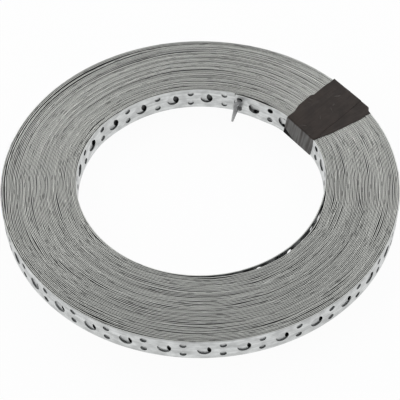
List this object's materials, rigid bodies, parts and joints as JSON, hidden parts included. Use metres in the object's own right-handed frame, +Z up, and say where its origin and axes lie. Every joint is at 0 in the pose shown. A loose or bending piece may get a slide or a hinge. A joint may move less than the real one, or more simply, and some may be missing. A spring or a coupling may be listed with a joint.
{
  "type": "coil of perforated steel strap",
  "caption": "Flat coil of perforated galvanised steel strap with an open bore, bound with dark tape and tied at its inner end with a flat wire tie.",
  "frame": {"origin": "centre of the coil on the plane that it lies on", "axes": "+Z up along the bore's axis, +X to the right and -Y towards the viewer in the picture"},
  "size_m": [0.185, 0.185, 0.0126],
  "materials": {
    "galvanised_strap": "zinc coated, slit edges",
    "dark_tape": "soft sheen, creased",
    "tie_wire": "dull flat wire"
  },
  "bodies": {
    "root": {"strap_coil": "galvanised_strap", "binding_tape": "dark_tape", "wire_tie": "tie_wire"}
  },
  "joints": []
}
